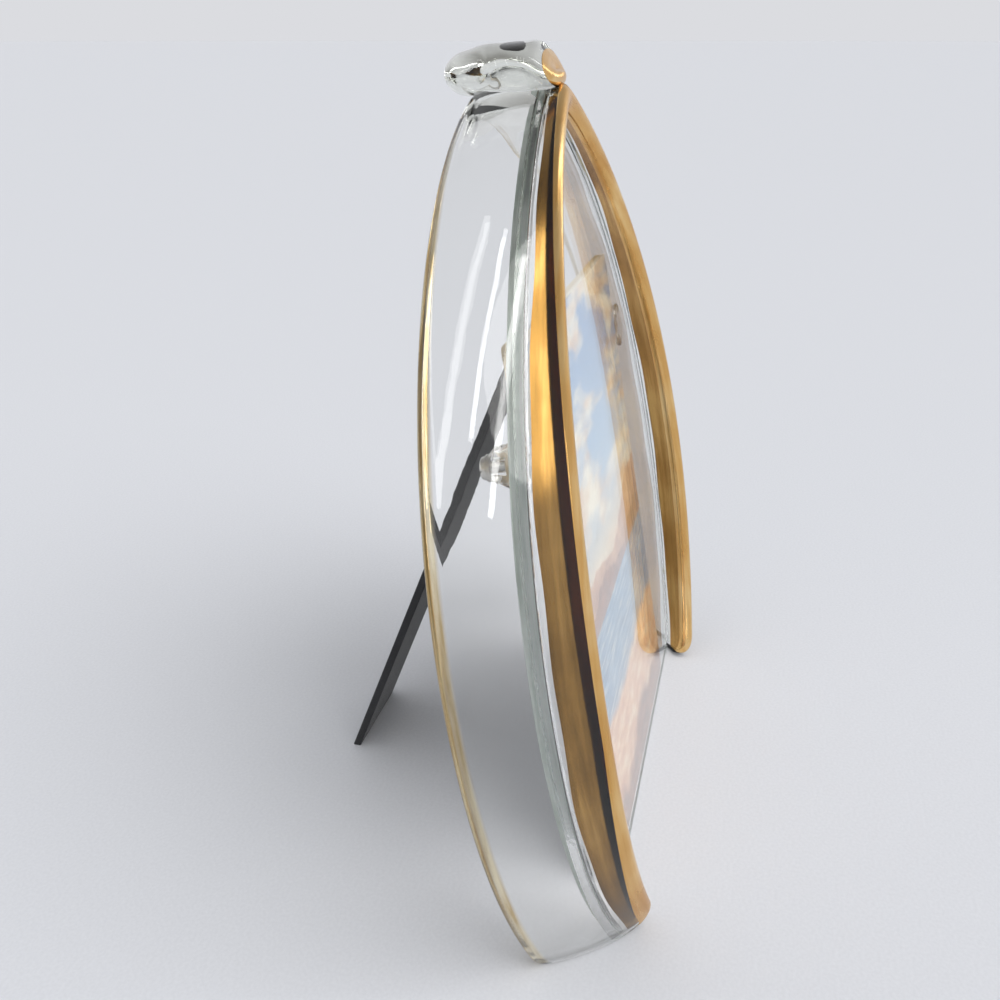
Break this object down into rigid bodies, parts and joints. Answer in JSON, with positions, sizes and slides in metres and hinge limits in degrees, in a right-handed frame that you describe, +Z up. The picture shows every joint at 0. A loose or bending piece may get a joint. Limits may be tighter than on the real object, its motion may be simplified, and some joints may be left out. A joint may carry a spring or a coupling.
{
  "type": "photo frame",
  "caption": "Free-standing photo frame: a bent clear glass arch with a gilded front rim round a flat glass panel, an upright print and an easel back with a folding leg.",
  "frame": {"origin": "middle of the footprint on the table, between the front rim and the foot of the opened leg", "axes": "+X to the right of someone facing the frame, +Y towards its back, +Z up; the front faces -Y and leans back"},
  "size_m": [0.2414, 0.1232, 0.2494],
  "materials": {
    "clear_glass": "polished, bent and flame-softened edges",
    "gilding": "fired gold, bright on the edge",
    "print": "satin photo paper",
    "card": "matt cream",
    "easel": "black flocked board",
    "nickel": "bright nickel plate",
    "black_steel": "satin black"
  },
  "bodies": {
    "frame": {"glass_arch": "clear_glass", "front_panel": "clear_glass", "stud_left": "clear_glass", "stud_right": "clear_glass", "gilt_rim": "gilding", "photo_print": "print", "backing_card": "card", "easel_board": "easel", "button_washer_left": "nickel", "button_washer_right": "nickel", "button_screw_left": "nickel", "button_screw_right": "nickel", "hinge_pin": "black_steel", "board_rivets": "nickel", "hinge_board_leaf": "black_steel"},
    "leg": {"easel_leg": "easel", "hinge_leg_leaf": "black_steel", "leg_rivets": "nickel"},
    "button_left": {"turn_button_left": "nickel"},
    "button_right": {"turn_button_right": "nickel"}
  },
  "joints": [
    {"name": "leg_hinge", "type": "hinge", "parent": "frame", "child": "leg", "pos_m": [0, -0.00638, 0.17288], "axis": [-1, 0, 0], "range_deg": [0, 31.5]},
    {"name": "turn_left", "type": "hinge", "parent": "frame", "child": "button_left", "pos_m": [-0.0721, -0.0178, 0.14805], "axis": [0, -0.9833, 0.1822], "range_deg": [0, 90]},
    {"name": "turn_right", "type": "hinge", "parent": "frame", "child": "button_right", "pos_m": [0.0721, -0.0178, 0.14805], "axis": [0, 0.9833, -0.1822], "range_deg": [0, 90]}
  ]
}
